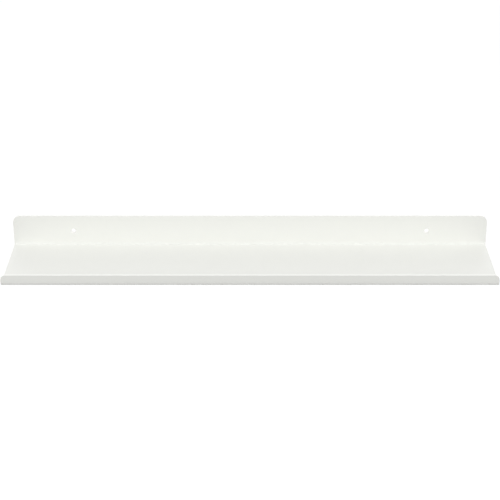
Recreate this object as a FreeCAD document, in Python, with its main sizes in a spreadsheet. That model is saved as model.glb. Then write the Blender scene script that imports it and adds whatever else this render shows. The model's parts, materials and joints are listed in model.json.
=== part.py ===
"""Floating wall shelf: one steel sheet folded twice, with two screw holes in its back plate.

Millimetres, +Z up, +X along the shelf. The wall is the plane Y = 0 and the shelf stands out
towards -Y. The origin is midway between the two screw holes, on the face against the wall.
"""
import FreeCAD, Part
import math
import os
import Sketcher
from FreeCAD import Vector

# Driving dimensions, in millimetres. Heights run up from the underside of the shelf.
SIZES = {
    "width": 600.0,  # along the wall
    "depth": 120.0,  # wall to the front of the lip
    "back_height": 42.0,  # underside to the top of the back plate
    "lip_height": 15.0,  # underside to the top of the lip
    "sheet_thickness": 3.0,
    "bend_radius": 3.0,  # inside of both folds
    "back_corner_radius": 9.0,
    "lip_corner_radius": 6.5,
    "hole_diameter": 5.5,
    "hole_spacing": 448.0,  # centre to centre
    "hole_height": 21.5,  # underside to the hole centres
    "edge_round": 0.3,  # deburred and coated edges
}
SHARP_ANGLE = 30.0  # degrees between faces, past which an edge is rounded off
NODE = "shelf_sheet"

doc = FreeCAD.newDocument("wall_shelf")


def make_sizes():
    """The spreadsheet that drives every feature: a name, a value and an alias on each row."""
    sheet = doc.addObject("Spreadsheet::Sheet", "sizes")
    for row, (name, value) in enumerate(SIZES.items(), start=1):
        sheet.set(f"A{row}", name)
        sheet.set(f"B{row}", str(value))
        sheet.setAlias(f"B{row}", name)
    doc.recompute()
    return sheet


def origin_plane(body, role):
    return next(part for part in body.Origin.OriginFeatures if part.Role == role)


def new_sketch(body, name, role):
    sketch = body.newObject("Sketcher::SketchObject", name)
    sketch.AttachmentSupport = (origin_plane(body, role), [""])
    sketch.MapMode = "FlatFace"
    return sketch


def drive(sketch, name, constraint, expression):
    """Adds a dimension to a sketch and binds it to the spreadsheet."""
    index = sketch.addConstraint(constraint)
    sketch.renameConstraint(index, name)
    sketch.setExpression(f"Constraints.{name}", expression)


def draw_profile(sketch, sizes):
    """The folded sheet seen from its end, in Y and Z: back plate, fold, shelf, fold, lip."""
    inner = sizes.bend_radius
    outer = sizes.bend_radius + sizes.sheet_thickness
    under = -sizes.hole_height
    front = -sizes.depth
    plate_top = under + sizes.back_height
    lip_top = under + sizes.lip_height
    plate_front = -sizes.sheet_thickness
    lip_back = front + sizes.sheet_thickness
    shelf_top = under + sizes.sheet_thickness
    back_centre = Vector(-outer, under + outer, 0)
    lip_centre = Vector(front + outer, under + outer, 0)

    def line(y1, z1, y2, z2):
        return sketch.addGeometry(Part.LineSegment(Vector(y1, z1, 0), Vector(y2, z2, 0)))

    def fold(centre, radius, quarter):
        """A quarter of a circle, counterclockwise, from the given count of quarter turns."""
        circle = Part.Circle(centre, Vector(0, 0, 1), radius)
        arc = Part.ArcOfCircle(circle, quarter * math.pi / 2, (quarter + 1) * math.pi / 2)
        return sketch.addGeometry(arc)

    wall_face = line(0, plate_top, 0, back_centre.y)
    outer_back_fold = fold(back_centre, outer, 3)
    underside = line(back_centre.x, under, lip_centre.x, under)
    outer_lip_fold = fold(lip_centre, outer, 2)
    lip_face = line(front, lip_centre.y, front, lip_top)
    lip_edge = line(front, lip_top, lip_back, lip_top)
    lip_inside = line(lip_back, lip_top, lip_back, lip_centre.y)
    inner_lip_fold = fold(lip_centre, inner, 2)
    shelf_face = line(lip_centre.x, shelf_top, back_centre.x, shelf_top)
    inner_back_fold = fold(back_centre, inner, 3)
    plate_face = line(plate_front, back_centre.y, plate_front, plate_top)
    plate_edge = line(plate_front, plate_top, 0, plate_top)

    start, end, middle = 1, 2, 3
    x_axis, y_axis = -1, -2
    origin = (x_axis, start)
    for first, second in (
        ((wall_face, end), (outer_back_fold, end)),
        ((outer_back_fold, start), (underside, start)),
        ((underside, end), (outer_lip_fold, end)),
        ((outer_lip_fold, start), (lip_face, start)),
        ((lip_inside, end), (inner_lip_fold, start)),
        ((inner_lip_fold, end), (shelf_face, start)),
        ((shelf_face, end), (inner_back_fold, start)),
        ((inner_back_fold, end), (plate_face, start)),
    ):
        sketch.addConstraint(Sketcher.Constraint("Tangent", *first, *second))
    for first, second in (
        ((lip_face, end), (lip_edge, start)),
        ((lip_edge, end), (lip_inside, start)),
        ((plate_face, end), (plate_edge, start)),
        ((plate_edge, end), (wall_face, start)),
        ((outer_back_fold, middle), (inner_back_fold, middle)),
        ((outer_lip_fold, middle), (inner_lip_fold, middle)),
    ):
        sketch.addConstraint(Sketcher.Constraint("Coincident", *first, *second))
    for upright in (wall_face, lip_face, lip_inside, plate_face):
        sketch.addConstraint(Sketcher.Constraint("Vertical", upright))
    for level in (underside, lip_edge, shelf_face, plate_edge):
        sketch.addConstraint(Sketcher.Constraint("Horizontal", level))
    sketch.addConstraint(Sketcher.Constraint("PointOnObject", wall_face, start, y_axis))
    sketch.addConstraint(Sketcher.Constraint("Equal", inner_back_fold, inner_lip_fold))

    drive(sketch, "hole_height",
          Sketcher.Constraint("DistanceY", underside, start, *origin, sizes.hole_height),
          "sizes.hole_height")
    drive(sketch, "depth",
          Sketcher.Constraint("DistanceX", lip_face, end, *origin, sizes.depth),
          "sizes.depth")
    drive(sketch, "back_height",
          Sketcher.Constraint("DistanceY", underside, start, wall_face, start, sizes.back_height),
          "sizes.back_height")
    drive(sketch, "lip_height",
          Sketcher.Constraint("DistanceY", underside, end, lip_face, end, sizes.lip_height),
          "sizes.lip_height")
    drive(sketch, "sheet_thickness",
          Sketcher.Constraint("DistanceX", plate_edge, start, plate_edge, end,
                              sizes.sheet_thickness),
          "sizes.sheet_thickness")
    drive(sketch, "bend_radius",
          Sketcher.Constraint("Radius", inner_back_fold, sizes.bend_radius),
          "sizes.bend_radius")


def fold_sheet(body, sizes):
    """The folded sheet at its full width, with square corners."""
    profile = new_sketch(body, "folded_profile", "YZ_Plane")
    draw_profile(profile, sizes)
    doc.recompute()
    sheet = body.newObject("PartDesign::Pad", "folded_sheet")
    sheet.Profile = profile
    sheet.Midplane = True
    sheet.setExpression("Length", "sizes.width")
    doc.recompute()
    return sheet


def punch_screw_holes(body, sizes):
    """One round hole through the back plate, and its twin across the middle of the shelf."""
    solid_before = body.Shape.Volume
    spot = new_sketch(body, "screw_hole_circle", "XZ_Plane")
    centre = Vector(sizes.hole_spacing / 2, 0, 0)
    circle = spot.addGeometry(Part.Circle(centre, Vector(0, 0, 1), sizes.hole_diameter / 2))
    spot.addConstraint(Sketcher.Constraint("PointOnObject", circle, 3, -1))
    drive(spot, "from_middle",
          Sketcher.Constraint("DistanceX", -1, 1, circle, 3, sizes.hole_spacing / 2),
          "sizes.hole_spacing / 2")
    drive(spot, "diameter",
          Sketcher.Constraint("Diameter", circle, sizes.hole_diameter),
          "sizes.hole_diameter")
    doc.recompute()
    hole = body.newObject("PartDesign::Pocket", "screw_hole")
    hole.Profile = spot
    hole.Reversed = True
    hole.setExpression("Length", "sizes.sheet_thickness")
    doc.recompute()

    pair = body.newObject("PartDesign::Mirrored", "screw_hole_pair")
    pair.Originals = [hole]
    pair.MirrorPlane = (origin_plane(body, "YZ_Plane"), [""])
    body.Tip = pair
    doc.recompute()
    punched_out = 2 * math.pi * (sizes.hole_diameter / 2) ** 2 * sizes.sheet_thickness
    if abs(solid_before - body.Shape.Volume - punched_out) > 0.01 * punched_out:
        raise RuntimeError("the screw holes don't go through the back plate")
    return pair


def corner_edges(shape, height, y_middle, half_width):
    """Names of the two short edges through the sheet at its ends, at one height."""
    names = []
    for number, edge in enumerate(shape.Edges, start=1):
        middle = edge.CenterOfMass
        at_end = abs(abs(middle.x) - half_width) < 1e-4
        if at_end and abs(middle.z - height) < 1e-4 and abs(middle.y - y_middle) < 1e-4:
            names.append(f"Edge{number}")
    if len(names) != 2:
        raise RuntimeError(f"found {len(names)} corners at height {height}, not 2")
    return names


def round_corner_pair(body, name, height, y_middle, alias, sizes):
    base = body.Tip
    corners = body.newObject("PartDesign::Fillet", name)
    corners.Base = (base, corner_edges(base.Shape, height, y_middle, sizes.width / 2))
    corners.setExpression("Radius", f"sizes.{alias}")
    doc.recompute()
    return corners


def round_corners(body, sizes):
    """The free corners of the back plate and of the lip; the folds run out square."""
    under = -sizes.hole_height
    half_sheet = sizes.sheet_thickness / 2
    round_corner_pair(body, "back_corners", under + sizes.back_height, -half_sheet,
                      "back_corner_radius", sizes)
    round_corner_pair(body, "lip_corners", under + sizes.lip_height, half_sheet - sizes.depth,
                      "lip_corner_radius", sizes)


def normal_beside(face, point):
    u, v = face.Surface.parameter(point)
    return face.normalAt(u, v)


def sharp_edges(shape):
    """Names of the edges where two faces meet at more than SHARP_ANGLE."""
    names = []
    for number, edge in enumerate(shape.Edges, start=1):
        faces = shape.ancestorsOfType(edge, Part.Face)
        if len(faces) != 2:
            continue
        middle = edge.valueAt((edge.FirstParameter + edge.LastParameter) / 2)
        turn = normal_beside(faces[0], middle).getAngle(normal_beside(faces[1], middle))
        if math.degrees(turn) > SHARP_ANGLE:
            names.append(f"Edge{number}")
    return names


def soften_edges(body):
    """Every cut edge of the sheet, the hole rims too, is deburred before it is coated."""
    base = body.Tip
    rounds = body.newObject("PartDesign::Fillet", "soft_edges")
    rounds.Base = (base, sharp_edges(base.Shape))
    rounds.setExpression("Radius", "sizes.edge_round")
    doc.recompute()
    return rounds


def check_document():
    """Stops on any failed object, loose sketch or unsound solid."""
    for item in doc.Objects:
        if "Invalid" in item.State or "Error" in item.State:
            raise RuntimeError(f"{item.Name} failed: {item.State}")
        if item.TypeId == "Sketcher::SketchObject" and item.solve() != 0:
            raise RuntimeError(f"{item.Name} doesn't solve")
        if item.TypeId == "Sketcher::SketchObject" and not item.FullyConstrained:
            raise RuntimeError(f"{item.Name} isn't fully constrained")
    for body in doc.findObjects("PartDesign::Body"):
        shape = body.Shape
        if shape.isNull() or not shape.isValid() or len(shape.Solids) != 1:
            raise RuntimeError(f"{body.Label} isn't one valid solid")


def make_shelf():
    sizes = make_sizes()
    shelf = doc.addObject("PartDesign::Body", NODE)
    shelf.Label = NODE
    fold_sheet(shelf, sizes)
    punch_screw_holes(shelf, sizes)
    round_corners(shelf, sizes)
    soften_edges(shelf)
    return shelf


shelf = make_shelf()
doc.recompute()
check_document()
os.makedirs("parts", exist_ok=True)
shelf.Shape.exportStep(f"parts/{shelf.Label}.step")
box = shelf.Shape.optimalBoundingBox(False)
print(f"{shelf.Label}: {box.XLength:.2f} x {box.YLength:.2f} x {box.ZLength:.2f} mm,"
      f" {shelf.Shape.Volume / 1000:.1f} cm3, {len(shelf.Shape.Faces)} faces")
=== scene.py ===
import bpy
import json
import math
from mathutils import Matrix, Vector


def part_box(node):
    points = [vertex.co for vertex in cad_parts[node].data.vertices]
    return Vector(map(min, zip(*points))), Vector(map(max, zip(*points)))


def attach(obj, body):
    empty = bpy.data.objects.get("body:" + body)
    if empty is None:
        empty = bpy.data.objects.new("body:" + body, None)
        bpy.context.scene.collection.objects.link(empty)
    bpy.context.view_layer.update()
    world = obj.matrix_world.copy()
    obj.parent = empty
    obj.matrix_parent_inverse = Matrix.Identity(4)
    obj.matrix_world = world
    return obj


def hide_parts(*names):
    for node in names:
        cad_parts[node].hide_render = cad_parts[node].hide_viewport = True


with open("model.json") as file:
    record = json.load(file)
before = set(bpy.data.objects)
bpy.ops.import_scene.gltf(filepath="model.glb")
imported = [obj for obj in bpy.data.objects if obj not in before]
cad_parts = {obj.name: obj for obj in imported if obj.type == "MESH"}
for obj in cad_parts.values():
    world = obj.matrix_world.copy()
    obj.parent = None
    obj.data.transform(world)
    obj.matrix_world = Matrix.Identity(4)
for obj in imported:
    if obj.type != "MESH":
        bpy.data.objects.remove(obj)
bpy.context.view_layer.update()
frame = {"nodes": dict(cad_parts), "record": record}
print("frame loaded:", sorted(frame["nodes"]))

nodeName = "shelf_sheet"
sheetLow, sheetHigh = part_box(nodeName)
mounts = {mount["name"]: mount for mount in frame["record"]["mounts"]}
screwHoles = mounts["wall_screw_holes"]
millimetre = 0.001  # the record gives a mount's dims in millimetres


# node trees

def addNode(tree, kind, settings=None, **values):
    node = tree.nodes.new(kind)
    for name, value in (settings or {}).items():
        setattr(node, name, value)
    for name, value in values.items():
        feed(tree, node.inputs[name.replace("_", " ")], value)
    return node


def feed(tree, socket, value):
    if isinstance(value, bpy.types.NodeSocket):
        tree.links.new(value, socket)
    else:
        socket.default_value = value


def calc(tree, operation, *terms):
    node = tree.nodes.new("ShaderNodeMath")
    node.operation = operation
    for socket, term in zip(node.inputs, terms):
        feed(tree, socket, term)
    return node.outputs[0]


def mixColors(tree, share, first, second):
    node = addNode(tree, "ShaderNodeMix", {"data_type": "RGBA"})
    firstColor, secondColor, mixedColor = 6, 7, 2  # places of the color sockets among the node's others
    feed(tree, node.inputs["Factor"], share)
    feed(tree, node.inputs[firstColor], first)
    feed(tree, node.inputs[secondColor], second)
    return node.outputs[mixedColor]


# the folded sheet

sheet = {
    "thickness": 0.003,
    "insideRadius": 0.003,  # both folds
    "lipHeight": 0.015,  # from the underside
    "backCornerRadius": 0.009,
    "lipCornerRadius": 0.0065,
    "edgeRound": 0.0003,  # deburred before coating
    "edgeSteps": 4,
    "cornerSteps": 8,  # half of a corner
    "foldSteps": 18,
    "holeSteps": 14,  # a quarter of a hole
    "holeMargin": 0.0028,  # flat patch round a hole
    "rimShares": (0.5, 1.0),  # rings from that patch to the hole's rim
    "shelfSteps": 14,
    "plateSteps": 2,  # from the fold up to the patches
    "middleSteps": 18,  # between the two patches
    "sideSteps": 4,  # from a patch to the corner
    "edgeHighlight": 1.0,  # painted highlight: the cut edges are drawn lighter
    "outsideFoldHighlight": 1.0,  # painted highlight: the outside of a fold is drawn lighter
    "insideFoldShade": -1.0,  # painted shade: the inside of a fold is drawn darker
    "roundingError": 1e-9,  # nearer than this is on the line
}


def spread(first, last, steps):
    return [first + (last - first) * k / steps for k in range(steps + 1)]


def evenAngles(middle, half, steps):  # lines that cut a quarter turn about the middle evenly
    return [middle + half * math.tan(math.radians(90 * k / steps - 45)) for k in range(steps + 1)]


def chain(*runs):  # joins runs of lines that share their end lines
    joined = list(runs[0])
    for run in runs[1:]:
        joined += run[1:]
    return joined


class Blank:  # the sheet as it is cut, flat at shelf height; x runs along it and y across it
    def __init__(self, s):
        self.sizes = s
        self.half = s["thickness"] / 2
        self.inset = s["edgeRound"]
        self.outer = s["insideRadius"] + s["thickness"]
        self.middleRadius = s["insideRadius"] + self.half
        self.foldRun = self.middleRadius * math.pi / 2
        self.halfWidth = (sheetHigh.x - sheetLow.x) / 2
        self.middleHeight = sheetLow.z + self.half
        self.backFold = sheetHigh.y - self.outer
        self.lipFold = sheetLow.y + self.outer
        plateRise = sheetHigh.z - sheetLow.z - self.outer
        self.backEnd = self.backFold + self.foldRun + plateRise
        self.lipEnd = self.lipFold - self.foldRun - (s["lipHeight"] - self.outer)
        self.lipCorner = self.lipEnd + s["lipCornerRadius"]
        self.backCorner = self.backEnd - s["backCornerRadius"]
        self.corners = (  # where each pair starts, its radius and its way out
            (self.lipCorner, s["lipCornerRadius"], -1),
            (self.backCorner, s["backCornerRadius"], 1),
        )
        self.holeRadius = screwHoles["dims"]["hole_r_mm"] * millimetre
        self.holeReach = self.holeRadius + s["holeMargin"]
        self.holeX = screwHoles["dims"]["spacing_x_mm"] * millimetre / 2
        self.holeY = self.backEnd - (sheetHigh.z - screwHoles["pos_m"][2])
        leftPatch = s["cornerSteps"] + s["sideSteps"]
        self.patchColumns = (leftPatch, leftPatch + s["holeSteps"] + s["middleSteps"])
        self.points, self.faces, self.paintedLightShade = [], [], []

    # build is the share of painted highlight (above zero) or painted shade (below zero) at a point
    def addPoint(self, x, y, offset, build=0.0):
        self.points.append((x, y, self.middleHeight + offset))
        self.paintedLightShade.append(build)
        return len(self.points) - 1

    def foldDepth(self, y):  # 0 on the flats, 1 halfway round a fold
        for start in (self.backFold, self.lipFold - self.foldRun):
            share = (y - start) / self.foldRun
            if 0 < share < 1:
                return math.sin(math.pi * share)
        return 0.0

    def cornerLines(self, radius):  # lines over half a corner, measured from its start
        steps = self.sizes["cornerSteps"]
        reach = radius - self.inset
        return [reach * math.tan(math.radians(45 * k / steps)) for k in range(steps + 1)]

    def rows(self):  # lines along the sheet, from the lip's edge to the plate's
        s = self.sizes
        lipFlat = self.lipFold - self.foldRun
        plateFlat = self.backFold + self.foldRun
        holeLines = evenAngles(self.holeY, self.holeReach, s["holeSteps"])
        below = chain(
            [self.lipCorner - c for c in reversed(self.cornerLines(s["lipCornerRadius"]))],
            spread(self.lipCorner, lipFlat, 1),
            spread(lipFlat, self.lipFold, s["foldSteps"]),
            spread(self.lipFold, self.backFold, s["shelfSteps"]),
            spread(self.backFold, plateFlat, s["foldSteps"]),
            spread(plateFlat, holeLines[0], s["plateSteps"]),
        )
        self.patchRow = len(below) - 1
        return chain(
            below,
            holeLines,
            spread(holeLines[-1], self.backCorner, 1),
            [self.backCorner + c for c in self.cornerLines(s["backCornerRadius"])],
        )

    def columns(self, y):  # lines across the sheet, where they cut one row
        s = self.sizes
        lipRadius, backRadius = s["lipCornerRadius"], s["backCornerRadius"]
        if y <= self.lipCorner:
            radius = lipRadius
        elif y >= self.backCorner:
            radius = backRadius
        else:
            share = (y - self.lipEnd) / (self.backEnd - self.lipEnd)
            radius = lipRadius + (backRadius - lipRadius) * share
        cornerX = self.halfWidth - radius
        corner = [cornerX + c for c in self.cornerLines(radius)]
        holeLines = evenAngles(self.holeX, self.holeReach, s["holeSteps"])
        right = chain(holeLines, spread(holeLines[-1], cornerX, s["sideSteps"]), corner)
        left = [-x for x in reversed(right)]
        between = spread(-holeLines[0], holeLines[0], s["middleSteps"])
        return chain(left, between, right)

    def rounded(self, x, y):  # a square corner block becomes a quarter of a disc
        for cornerY, radius, way in self.corners:
            cornerX = self.halfWidth - radius
            across, along = abs(x) - cornerX, (y - cornerY) * way
            if across > 0 and along > 0:
                shrink = max(across, along) / math.hypot(across, along)
                return math.copysign(cornerX + across * shrink, x), cornerY + way * along * shrink
        return x, y

    def outward(self, x, y):  # direction out of the sheet at a point of its outline
        near = self.sizes["roundingError"]
        for cornerY, radius, way in self.corners:
            across, along = abs(x) - (self.halfWidth - radius), (y - cornerY) * way
            if across > -near and along > -near:
                size = math.hypot(across, along)
                return math.copysign(across / size, x), way * along / size
        if abs(abs(x) - (self.halfWidth - self.inset)) < near:
            return math.copysign(1, x), 0
        return 0, math.copysign(1, y - (self.lipEnd + self.backEnd) / 2)

    def addSide(self, offset, flip):  # one face of the sheet, without its rounded edges
        s = self.sizes
        # painted shade inside a fold, painted highlight on its outside
        foldPaintedLight = s["insideFoldShade"] if offset > 0 else s["outsideFoldHighlight"]
        grid = []
        for y in self.rows():
            build = foldPaintedLight * self.foldDepth(y)
            grid.append([self.addPoint(*self.rounded(x, y), offset, build) for x in self.columns(y)])
        bottom, steps = self.patchRow, s["holeSteps"]
        for row in range(len(grid) - 1):
            lower, upper = grid[row], grid[row + 1]
            besideHoles = bottom <= row < bottom + steps
            for column in range(len(lower) - 1):
                inPatch = besideHoles and any(c <= column < c + steps for c in self.patchColumns)
                if not inPatch:
                    after = column + 1
                    self.addFace([lower[column], lower[after], upper[after], upper[column]], flip)
        rims = [self.addRim(grid, left, offset, flip) for left in self.patchColumns]
        outline = (grid[0] + [row[-1] for row in grid[1:]]
                   + grid[-1][-2::-1] + [row[0] for row in grid[-2:0:-1]])
        return outline, rims

    def addFace(self, corners, flip):
        self.faces.append(corners[::-1] if flip else corners)

    def addRim(self, grid, left, offset, flip):  # rings from a square patch to the round hole
        bottom, steps = self.patchRow, self.sizes["holeSteps"]
        square = ([grid[bottom][left + k] for k in range(steps)]
                  + [grid[bottom + k][left + steps] for k in range(steps)]
                  + [grid[bottom + steps][left + steps - k] for k in range(steps)]
                  + [grid[bottom + steps - k][left] for k in range(steps)])
        middleX = sum(self.points[p][0] for p in square) / len(square)
        rim = self.holeRadius + self.inset
        rings = [square]
        for share in self.sizes["rimShares"]:
            ring = []
            for p in square:
                x, y = self.points[p][0] - middleX, self.points[p][1] - self.holeY
                stretch = 1 - share + share * rim / math.hypot(x, y)
                ring.append(self.addPoint(middleX + x * stretch, self.holeY + y * stretch, offset))
            rings.append(ring)
        self.joinLoops(rings, not flip)
        return rings[-1], middleX

    def joinLoops(self, loops, flip):  # a band of faces between each loop and the next
        for first, second in zip(loops, loops[1:]):
            for k in range(len(first)):
                after = (k + 1) % len(first)
                self.addFace([first[k], second[k], second[after], first[after]], flip)

    def addEdge(self, upper, lower, direction, flip):  # the rounded edge between the two faces
        s = self.sizes
        steps = s["edgeSteps"]
        loops = [upper]
        for side in (1, -1):
            turns = range(1, steps + 1) if side > 0 else range(steps, 0, -1)
            for k in turns:
                angle = math.radians(90 * k / steps)
                out = self.inset * math.sin(angle)
                offset = side * (self.half - self.inset * (1 - math.cos(angle)))
                # painted highlight on the flat cut face of the edge
                build = s["edgeHighlight"] if k == steps else 0.0
                loop = []
                for p in upper:
                    x, y = self.points[p][:2]
                    dx, dy = direction(x, y)
                    loop.append(self.addPoint(x + dx * out, y + dy * out, offset, build))
                loops.append(loop)
        loops.append(lower)
        self.joinLoops(loops, flip)

    def build(self):
        upperOutline, upperRims = self.addSide(self.half, False)
        lowerOutline, lowerRims = self.addSide(-self.half, True)
        self.addEdge(upperOutline, lowerOutline, self.outward, False)
        for (upper, middleX), (lower, _) in zip(upperRims, lowerRims):
            def inward(x, y, middleX=middleX):  # into the hole
                size = math.hypot(x - middleX, y - self.holeY)
                return (middleX - x) / size, (self.holeY - y) / size
            self.addEdge(upper, lower, inward, True)
        mesh = bpy.data.meshes.new("sheetBlank")
        mesh.from_pydata(self.points, [], self.faces)
        # painted highlight and painted shade shares, read by the coat's colour
        build = mesh.attributes.new("paintedLightShade", "FLOAT", "POINT")
        build.data.foreach_set("value", self.paintedLightShade)
        mesh.validate()
        return mesh


def pressBrakeGroup():  # folds up everything past a line, round a bend of even thickness
    tree = bpy.data.node_groups.new("pressBrakeFold", "GeometryNodeTree")
    sockets = tree.interface
    sockets.new_socket("Geometry", in_out="INPUT", socket_type="NodeSocketGeometry")
    for name in ("Fold Line", "Direction", "Middle Radius", "Middle Height", "Angle"):
        sockets.new_socket(name, in_out="INPUT", socket_type="NodeSocketFloat")
    sockets.new_socket("Geometry", in_out="OUTPUT", socket_type="NodeSocketGeometry")
    inputs = tree.nodes.new("NodeGroupInput").outputs
    place = addNode(tree, "ShaderNodeSeparateXYZ",
                    Vector=tree.nodes.new("GeometryNodeInputPosition").outputs[0]).outputs
    radius, way = inputs["Middle Radius"], inputs["Direction"]

    # past: how far a point lies beyond the fold line; turn: the angle it is bent by;
    # rest: what runs on straight after the bend; reach: the bend radius of its layer
    past = calc(tree, "MULTIPLY", calc(tree, "SUBTRACT", place["Y"], inputs["Fold Line"]), way)
    turn = calc(tree, "MINIMUM", calc(tree, "DIVIDE", past, radius), inputs["Angle"])
    rest = calc(tree, "SUBTRACT", past, calc(tree, "MULTIPLY", turn, radius))
    above = calc(tree, "SUBTRACT", place["Z"], inputs["Middle Height"])
    reach = calc(tree, "SUBTRACT", radius, above)
    sine, cosine = calc(tree, "SINE", turn), calc(tree, "COSINE", turn)

    reachOut, restOut = calc(tree, "MULTIPLY", reach, sine), calc(tree, "MULTIPLY", rest, cosine)
    reachUp, restUp = calc(tree, "MULTIPLY", reach, cosine), calc(tree, "MULTIPLY", rest, sine)
    outY = calc(tree, "ADD", reachOut, restOut)
    newY = calc(tree, "ADD", inputs["Fold Line"], calc(tree, "MULTIPLY", outY, way))
    centerZ = calc(tree, "ADD", inputs["Middle Height"], radius)
    newZ = calc(tree, "ADD", centerZ, calc(tree, "SUBTRACT", restUp, reachUp))
    folded = addNode(tree, "ShaderNodeCombineXYZ", X=place["X"], Y=newY, Z=newZ).outputs[0]

    moved = addNode(tree, "GeometryNodeSetPosition", Geometry=inputs["Geometry"],
                    Selection=calc(tree, "GREATER_THAN", past, 0.0), Position=folded)
    output = tree.nodes.new("NodeGroupOutput")
    tree.links.new(moved.outputs[0], output.inputs[0])
    return tree


def sheetTree(blank, material):
    tree = bpy.data.node_groups.new("foldedSheet", "GeometryNodeTree")
    sockets = tree.interface
    sockets.new_socket("Geometry", in_out="INPUT", socket_type="NodeSocketGeometry")
    sockets.new_socket("Geometry", in_out="OUTPUT", socket_type="NodeSocketGeometry")
    sizes = {
        "Back Fold": blank.backFold,
        "Lip Fold": blank.lipFold,
        "Middle Radius": blank.middleRadius,
        "Middle Height": blank.middleHeight,
        "Back Angle": math.pi / 2,
        "Lip Angle": math.pi / 2,
    }
    for name in sizes:
        sockets.new_socket(name, in_out="INPUT", socket_type="NodeSocketFloat")
    inputs = tree.nodes.new("NodeGroupInput").outputs
    brake = pressBrakeGroup()
    geometry = inputs["Geometry"]
    for side, way in (("Back", 1.0), ("Lip", -1.0)):
        fold = tree.nodes.new("GeometryNodeGroup")
        fold.node_tree = brake
        feed(tree, fold.inputs["Geometry"], geometry)
        feed(tree, fold.inputs["Direction"], way)
        feed(tree, fold.inputs["Fold Line"], inputs[side + " Fold"])
        feed(tree, fold.inputs["Angle"], inputs[side + " Angle"])
        for name in ("Middle Radius", "Middle Height"):
            feed(tree, fold.inputs[name], inputs[name])
        geometry = fold.outputs[0]
    smooth = addNode(tree, "GeometryNodeSetShadeSmooth", Geometry=geometry)
    whole = addNode(tree, "GeometryNodeRealizeInstances", Geometry=smooth.outputs[0])
    coated = addNode(tree, "GeometryNodeSetMaterial", Geometry=whole.outputs[0], Material=material)
    output = tree.nodes.new("NodeGroupOutput")
    tree.links.new(coated.outputs[0], output.inputs[0])
    return tree, sizes


def runTree(piece, tree, sizes):  # sets the named sizes, then keeps the result as a plain mesh
    modifier = piece.modifiers.new("nodes", "NODES")
    modifier.node_group = tree
    for item in tree.interface.items_tree:
        if item.item_type == "SOCKET" and item.in_out == "INPUT" and item.name in sizes:
            modifier[item.identifier] = sizes[item.name]
    evenNormals = piece.modifiers.new("evenNormals", "WEIGHTED_NORMAL")
    evenNormals.mode = "FACE_AREA"  # the big flats stay flat up to the rounded edges
    graph = bpy.context.evaluated_depsgraph_get()
    mesh = bpy.data.meshes.new_from_object(piece.evaluated_get(graph), depsgraph=graph)
    piece.modifiers.clear()
    piece.data = mesh
    return piece


# the powder coat

coat = {
    "color": (0.862, 0.868, 0.832, 1),
    "deepColor": (0.854, 0.860, 0.824, 1),  # faint drift of tone over the sheet
    "paintedHighlightColor": (0.950, 0.953, 0.924, 1),  # painted highlight on the cut edges and the outside of the folds
    "paintedShadeColor": (0.812, 0.818, 0.783, 1),  # painted shade inside the folds
    "toneScale": 5.0,
    "toneDetail": 2.0,
    "roughness": 0.42,
    "roughnessDrift": 0.05,
    "peelScale": 620.0,  # waves of about 1.5 mm
    "peelDetail": 1.5,
    "peelRoughness": 0.45,
    "peelHeight": 0.000012,
    "grainScale": 3200.0,
    "grainDetail": 2.0,
    "grainRoughness": 0.6,
    "grainHeight": 0.0000022,
    "ior": 1.5,
}


def orangePeelGroup(c):  # the low waves and fine grain of baked powder
    tree = bpy.data.node_groups.new("orangePeel", "ShaderNodeTree")
    sockets = tree.interface
    for name, kind in (("Vector", "NodeSocketVector"), ("Peel Scale", "NodeSocketFloat"),
                       ("Grain Scale", "NodeSocketFloat"), ("Grain Share", "NodeSocketFloat")):
        sockets.new_socket(name, in_out="INPUT", socket_type=kind)
    for name in ("Height", "Mask"):
        sockets.new_socket(name, in_out="OUTPUT", socket_type="NodeSocketFloat")
    inputs = tree.nodes.new("NodeGroupInput").outputs
    peel = addNode(tree, "ShaderNodeTexNoise", Vector=inputs["Vector"], Scale=inputs["Peel Scale"],
                   Detail=c["peelDetail"], Roughness=c["peelRoughness"])
    grain = addNode(tree, "ShaderNodeTexNoise", Vector=inputs["Vector"], Scale=inputs["Grain Scale"],
                    Detail=c["grainDetail"], Roughness=c["grainRoughness"])
    fine = calc(tree, "MULTIPLY", grain.outputs[0], inputs["Grain Share"])
    output = tree.nodes.new("NodeGroupOutput")
    tree.links.new(calc(tree, "ADD", peel.outputs[0], fine), output.inputs["Height"])
    tree.links.new(peel.outputs[0], output.inputs["Mask"])
    return tree


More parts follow.
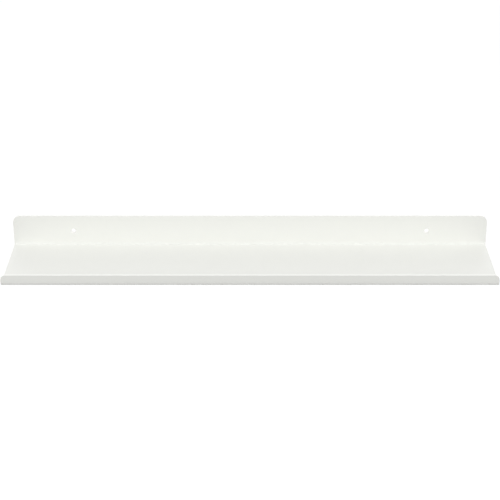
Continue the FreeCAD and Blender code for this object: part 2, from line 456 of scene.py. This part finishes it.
def powderCoat(name, c):
    material = bpy.data.materials.new(name)
    material.use_nodes = True
    tree = material.node_tree
    tree.nodes.clear()
    place = tree.nodes.new("ShaderNodeTexCoord").outputs["Object"]
    tone = addNode(tree, "ShaderNodeTexNoise", Vector=place, Scale=c["toneScale"],
                   Detail=c["toneDetail"])
    drift = mixColors(tree, tone.outputs[0], c["color"], c["deepColor"])
    # share of painted highlight (above zero) and painted shade (below zero)
    build = addNode(tree, "ShaderNodeAttribute", {"attribute_name": "paintedLightShade"}).outputs["Fac"]
    highlightedColor = mixColors(tree, build, drift, c["paintedHighlightColor"])  # painted highlight where the share is above zero; a mix ignores a share below zero
    # painted shade inside the folds, where the share is below zero
    color = mixColors(tree, calc(tree, "MULTIPLY", build, -1.0), highlightedColor, c["paintedShadeColor"])

    peel = tree.nodes.new("ShaderNodeGroup")
    peel.node_tree = orangePeelGroup(c)
    for socket, value in (("Vector", place), ("Peel Scale", c["peelScale"]),
                          ("Grain Scale", c["grainScale"]),
                          ("Grain Share", c["grainHeight"] / c["peelHeight"])):
        feed(tree, peel.inputs[socket], value)
    bump = addNode(tree, "ShaderNodeBump", Strength=1.0, Distance=c["peelHeight"],
                   Height=peel.outputs["Height"])
    roughness = addNode(tree, "ShaderNodeMapRange", Value=peel.outputs["Mask"])
    feed(tree, roughness.inputs["To Min"], c["roughness"] - c["roughnessDrift"])
    feed(tree, roughness.inputs["To Max"], c["roughness"] + c["roughnessDrift"])
    shader = addNode(tree, "ShaderNodeBsdfPrincipled", Base_Color=color,
                     Roughness=roughness.outputs[0], Normal=bump.outputs[0], IOR=c["ior"])
    output = tree.nodes.new("ShaderNodeOutputMaterial")
    tree.links.new(shader.outputs[0], output.inputs["Surface"])
    return material


coatMaterial = powderCoat("powderCoatWhite", coat)
blank = Blank(sheet)
shelf = bpy.data.objects.new("foldedSheet", blank.build())
bpy.context.scene.collection.objects.link(shelf)
shelf = runTree(shelf, *sheetTree(blank, coatMaterial))
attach(shelf, "root")
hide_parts(nodeName)
frame["nodes"][nodeName].data.materials.clear()
frame["nodes"][nodeName].data.materials.append(coatMaterial)
print("folded sheet:", len(shelf.data.polygons), "faces")


# the studio

studio = {
    "floorDrop": 1.1,  # the shelf hangs well clear of the floor
    "floorSize": 30.0,
    "floorColor": (0.42, 0.42, 0.415, 1),
    "floorShade": (0.4116, 0.4116, 0.4067, 1),  # faint mottle
    "mottleScale": 3.0,
    "floorGlow": 0.75,  # lifts the floor to white where it is seen, on top of its own light
    "worldColor": (1, 1, 1, 1),
    "worldStrength": 0.632,  # what lights the shelf; the view of it is plain white
}
lamps = {
    "leftLamp": {"place": (-1.96, -1.33, 0.60), "size": (1.2, 0.9), "power": 16.3},
    "rightLamp": {"place": (1.96, -1.33, 0.60), "size": (1.2, 0.9), "power": 16.3},
    "topLamp": {"place": (0, -0.41, 1.95), "size": (2.4, 0.9), "power": 8.3},
    "rearLamp": {"place": (0, 1.75, 0.83), "size": (2.4, 0.9), "power": 4.0},
}
view = {
    "lens": 106.1,  # millimetres, and so is the sensor
    "sensor": 36.0,
    "distance": 1.8618,
    "elevation": 24.68,  # degrees that the camera looks down
    "aim": (0, -0.0208, -0.0185),  # on the shelf
}


def seenWhite(tree):  # 1 for rays from the camera, or seen in a gloss or through glass
    path = tree.nodes.new("ShaderNodeLightPath").outputs
    direct = calc(tree, "MAXIMUM", path["Is Camera Ray"], path["Is Glossy Ray"])
    return calc(tree, "MAXIMUM", direct, path["Is Transmission Ray"])


def makeWorld(s):
    world = bpy.data.worlds.new("studioWhite")
    bpy.context.scene.world = world
    world.use_nodes = True
    tree = world.node_tree
    tree.nodes.clear()
    light = addNode(tree, "ShaderNodeBackground", Color=s["worldColor"],
                    Strength=s["worldStrength"])
    white = addNode(tree, "ShaderNodeBackground", Color=s["worldColor"], Strength=1.0)
    mixed = tree.nodes.new("ShaderNodeMixShader")
    for socket, value in zip(mixed.inputs, (seenWhite(tree), light.outputs[0], white.outputs[0])):
        feed(tree, socket, value)
    output = tree.nodes.new("ShaderNodeOutputWorld")
    tree.links.new(mixed.outputs[0], output.inputs["Surface"])


def makeFloor(s):
    half = s["floorSize"] / 2
    height = sheetLow.z - s["floorDrop"]
    mesh = bpy.data.meshes.new("floor")
    corners = [(x, y, height) for x, y in ((-half, -half), (half, -half), (half, half), (-half, half))]
    mesh.from_pydata(corners, [], [(0, 1, 2, 3)])
    floor = bpy.data.objects.new("floor", mesh)
    bpy.context.scene.collection.objects.link(floor)
    material = bpy.data.materials.new("paleFloor")
    material.use_nodes = True
    tree = material.node_tree
    tree.nodes.clear()
    place = tree.nodes.new("ShaderNodeTexCoord").outputs["Object"]
    mottle = addNode(tree, "ShaderNodeTexNoise", Vector=place, Scale=s["mottleScale"])
    paint = mixColors(tree, mottle.outputs[0], s["floorColor"], s["floorShade"])
    matte = addNode(tree, "ShaderNodeBsdfDiffuse", Color=paint)
    glowSeen = calc(tree, "MULTIPLY", seenWhite(tree), s["floorGlow"])
    glow = addNode(tree, "ShaderNodeEmission", Strength=glowSeen)
    both = tree.nodes.new("ShaderNodeAddShader")
    for socket, shader in zip(both.inputs, (matte, glow)):
        tree.links.new(shader.outputs[0], socket)
    output = tree.nodes.new("ShaderNodeOutputMaterial")
    tree.links.new(both.outputs[0], output.inputs["Surface"])
    mesh.materials.append(material)


def makeLamp(name, lamp):  # aimed at the middle of the shelf
    data = bpy.data.lights.new(name, "AREA")
    data.shape = "RECTANGLE"
    data.size, data.size_y = lamp["size"]
    data.energy = lamp["power"]
    lampObject = bpy.data.objects.new(name, data)
    lampObject.location = lamp["place"]
    target = (sheetLow + sheetHigh) / 2
    lampObject.rotation_euler = (target - lampObject.location).to_track_quat("-Z", "Y").to_euler()
    bpy.context.scene.collection.objects.link(lampObject)


def makeCamera(v):
    data = bpy.data.cameras.new("camera")
    data.lens, data.sensor_width = v["lens"], v["sensor"]
    camera = bpy.data.objects.new("camera", data)
    tilt = math.radians(v["elevation"])
    back = Vector((0, -math.cos(tilt), math.sin(tilt)))
    camera.location = Vector(v["aim"]) + back * v["distance"]
    camera.rotation_euler = (math.pi / 2 - tilt, 0, 0)
    bpy.context.scene.collection.objects.link(camera)
    bpy.context.scene.camera = camera


makeWorld(studio)
makeFloor(studio)
for lampName, lampSizes in lamps.items():
    makeLamp(lampName, lampSizes)
makeCamera(view)
bpy.context.scene.view_settings.view_transform = "Standard"
print("studio lit")
